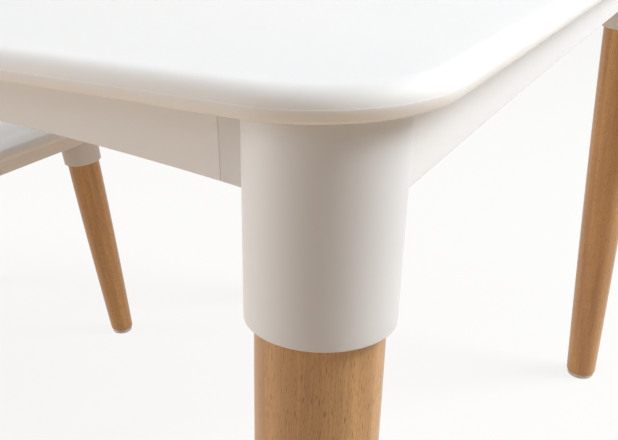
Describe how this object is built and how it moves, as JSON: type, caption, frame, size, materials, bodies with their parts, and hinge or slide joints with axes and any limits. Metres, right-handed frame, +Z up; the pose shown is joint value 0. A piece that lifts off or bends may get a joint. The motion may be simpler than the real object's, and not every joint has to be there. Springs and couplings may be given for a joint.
{
  "type": "kids table and chairs",
  "caption": "Small play table with a rounded white top on splayed beech legs in white sockets, with matching white chairs facing it on both long sides.",
  "frame": {"origin": "on the floor under the middle of the table", "axes": "+Z up, X along the table's long sides, Y across the table through both chairs; the front chair stands on the -Y side"},
  "size_m": [0.6224, 1.199, 0.5],
  "materials": {
    "top_white": "satin moulded plastic",
    "apron_white": "satin moulded plastic",
    "socket_white": "smooth moulded plastic, low gloss",
    "chair_white": "satin moulded plastic",
    "beech": "turned beech, clear matt lacquer",
    "zinc_steel": "zinc-plated steel",
    "foot_glide": "matt moulded plastic"
  },
  "bodies": {
    "table": {"table_top": "top_white", "table_apron_back": "apron_white", "table_apron_front": "apron_white", "table_apron_left": "apron_white", "table_apron_right": "apron_white", "table_socket_back_right": "socket_white", "table_leg_back_right": "beech", "table_leg_bolt_back_right": "zinc_steel", "table_foot_back_right": "foot_glide", "table_socket_back_left": "socket_white", "table_leg_back_left": "beech", "table_leg_bolt_back_left": "zinc_steel", "table_foot_back_left": "foot_glide", "table_socket_front_left": "socket_white", "table_leg_front_left": "beech", "table_leg_bolt_front_left": "zinc_steel", "table_foot_front_left": "foot_glide", "table_socket_front_right": "socket_white", "table_leg_front_right": "beech", "table_leg_bolt_front_right": "zinc_steel", "table_foot_front_right": "foot_glide"},
    "front_chair": {"front_chair_seat": "chair_white", "front_chair_backrest": "chair_white", "front_chair_socket_back_right": "socket_white", "front_chair_leg_back_right": "beech", "front_chair_leg_bolt_back_right": "zinc_steel", "front_chair_foot_back_right": "foot_glide", "front_chair_socket_back_left": "socket_white", "front_chair_leg_back_left": "beech", "front_chair_leg_bolt_back_left": "zinc_steel", "front_chair_foot_back_left": "foot_glide", "front_chair_socket_front_left": "socket_white", "front_chair_leg_front_left": "beech", "front_chair_leg_bolt_front_left": "zinc_steel", "front_chair_foot_front_left": "foot_glide", "front_chair_socket_front_right": "socket_white", "front_chair_leg_front_right": "beech", "front_chair_leg_bolt_front_right": "zinc_steel", "front_chair_foot_front_right": "foot_glide"},
    "back_chair": {"back_chair_seat": "chair_white", "back_chair_backrest": "chair_white", "back_chair_socket_back_right": "socket_white", "back_chair_leg_back_right": "beech", "back_chair_leg_bolt_back_right": "zinc_steel", "back_chair_foot_back_right": "foot_glide", "back_chair_socket_back_left": "socket_white", "back_chair_leg_back_left": "beech", "back_chair_leg_bolt_back_left": "zinc_steel", "back_chair_foot_back_left": "foot_glide", "back_chair_socket_front_left": "socket_white", "back_chair_leg_front_left": "beech", "back_chair_leg_bolt_front_left": "zinc_steel", "back_chair_foot_front_left": "foot_glide", "back_chair_socket_front_right": "socket_white", "back_chair_leg_front_right": "beech", "back_chair_leg_bolt_front_right": "zinc_steel", "back_chair_foot_front_right": "foot_glide"}
  },
  "joints": [
    {"name": "front_chair_slide", "type": "slide", "parent": "table", "child": "front_chair", "axis": [0, 1, 0], "range_m": [-0.15, 0.28]},
    {"name": "back_chair_slide", "type": "slide", "parent": "table", "child": "back_chair", "axis": [0, -1, 0], "range_m": [-0.15, 0.28]}
  ]
}
